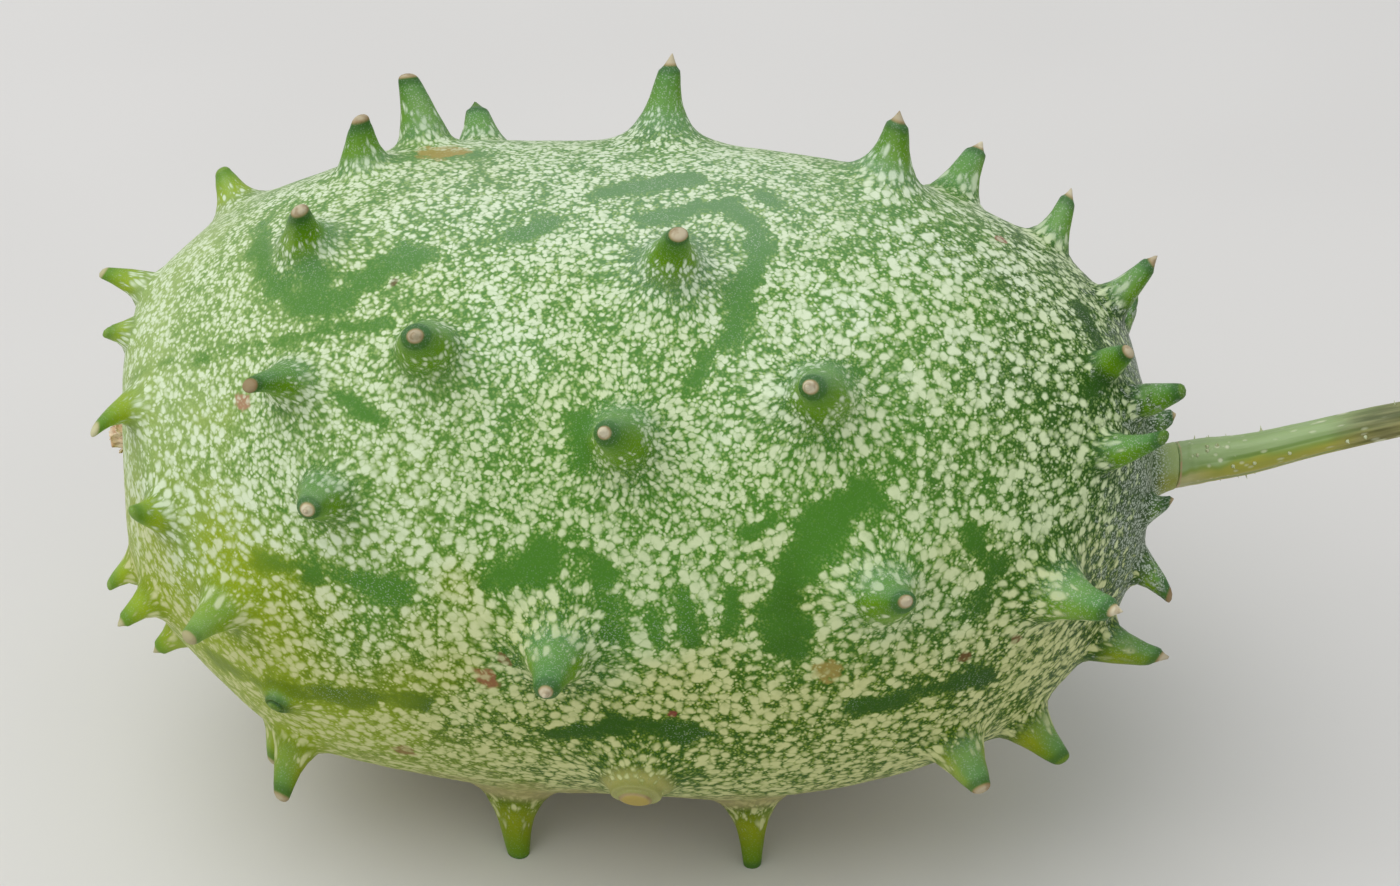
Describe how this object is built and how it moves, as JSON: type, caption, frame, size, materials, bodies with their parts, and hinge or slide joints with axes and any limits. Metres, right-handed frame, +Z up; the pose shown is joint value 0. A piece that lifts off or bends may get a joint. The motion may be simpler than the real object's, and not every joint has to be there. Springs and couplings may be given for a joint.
{
  "type": "horned melon",
  "caption": "Unripe horned melon lying on its soft horns, with its cut stalk and dried flower remnant; a decorative or kitchen fruit.",
  "frame": {"origin": "on the surface that the fruit rests on, under the middle of the whole part's box, stalk included", "axes": "+X along the fruit towards the stalk, +Z up, -Y the side that faces the viewer"},
  "size_m": [0.1636, 0.0966, 0.0867],
  "materials": {
    "speckled_skin": "waxy green rind with cream speckles, darker horns with pale corky tips",
    "stalk_skin": "ridged pale green stalk with fine bristles, browner towards its cut end",
    "dry_petal": "papery beige-brown withered petals"
  },
  "bodies": {
    "root": {"fruit": "speckled_skin", "stalk": "stalk_skin", "dried_flower": "dry_petal"}
  },
  "joints": []
}
